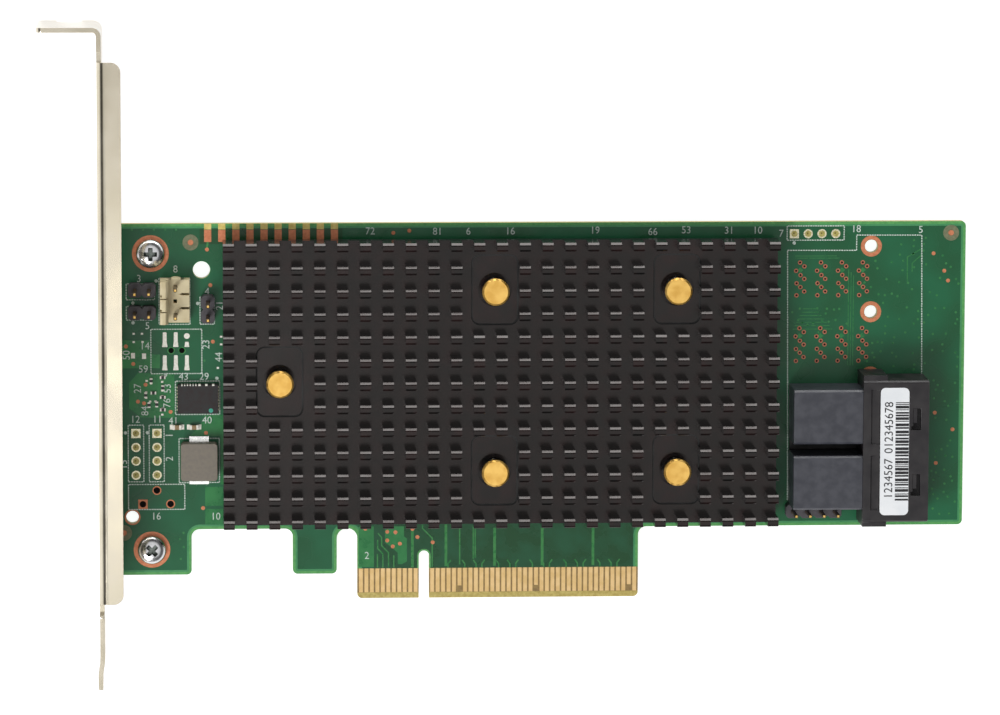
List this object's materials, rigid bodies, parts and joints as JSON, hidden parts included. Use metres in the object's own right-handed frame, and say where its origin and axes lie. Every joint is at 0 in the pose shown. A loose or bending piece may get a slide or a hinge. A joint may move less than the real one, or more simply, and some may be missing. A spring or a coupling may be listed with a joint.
{
  "type": "storage controller card",
  "caption": "Low, long expansion card: card-edge connector, full-height folded bracket, pin-fin heat sink on sprung push pins, two-port cable socket and pin headers.",
  "frame": {"origin": "middle of the key notch on the connector's bottom edge, half way through the board", "axes": "+X from the bracket to the far end, +Y from the connector up to the board's long top edge, +Z out of the component side"},
  "size_m": [0.1681, 0.12, 0.0184],
  "materials": {
    "solder_mask": "green solder mask over glass-fibre laminate, satin gloss",
    "gold_contact": "gold plating, bright",
    "bracket_steel": "zinc-plated steel, softly brushed",
    "nickel_screw": "nickel plating, bright",
    "black_anodised": "black anodised, satin",
    "brass_pin": "turned brass, bright",
    "spring_steel": "plain spring wire",
    "package_laminate": "package laminate",
    "nickel_lid": "nickel-plated lid, satin",
    "thermal_pad": "soft grey pad",
    "socket_plastic": "black moulded plastic, fine grain",
    "block_plastic": "black moulded plastic, satin",
    "label_paper": "white printed label",
    "header_plastic": "black moulded plastic, satin",
    "ivory_plastic": "ivory nylon, satin",
    "inductor_core": "pressed iron powder, matte",
    "tinned_copper": "tinned copper, bright",
    "package_plastic": "black moulded package, fine grain",
    "capacitor_ceramic": "tan ceramic with tinned ends",
    "resistor_ceramic": "black glaze with tinned ends"
  },
  "bodies": {
    "root": {"circuit_board": "solder_mask", "edge_contacts_front": "gold_contact", "edge_contacts_back": "gold_contact", "bracket": "bracket_steel", "bracket_screws": "nickel_screw", "heat_sink": "black_anodised", "push_pins": "brass_pin", "push_pin_springs": "spring_steel", "controller_substrate": "package_laminate", "controller_lid": "nickel_lid", "thermal_pad": "thermal_pad", "cable_socket": "socket_plastic", "contact_block_lower": "block_plastic", "contact_block_upper": "block_plastic", "socket_label": "label_paper", "led_header_upper": "header_plastic", "led_header_upper_pins": "gold_contact", "led_header_lower": "header_plastic", "led_header_lower_pins": "gold_contact", "jumper_header": "header_plastic", "jumper_header_pins": "gold_contact", "lock_header": "ivory_plastic", "lock_header_pins": "gold_contact", "serial_header": "header_plastic", "serial_header_pins": "gold_contact", "power_inductor": "inductor_core", "power_inductor_terminals": "tinned_copper", "power_stage": "package_plastic", "ceramic_capacitors": "capacitor_ceramic", "chip_resistors": "resistor_ceramic", "back_capacitors": "capacitor_ceramic"}
  },
  "joints": []
}
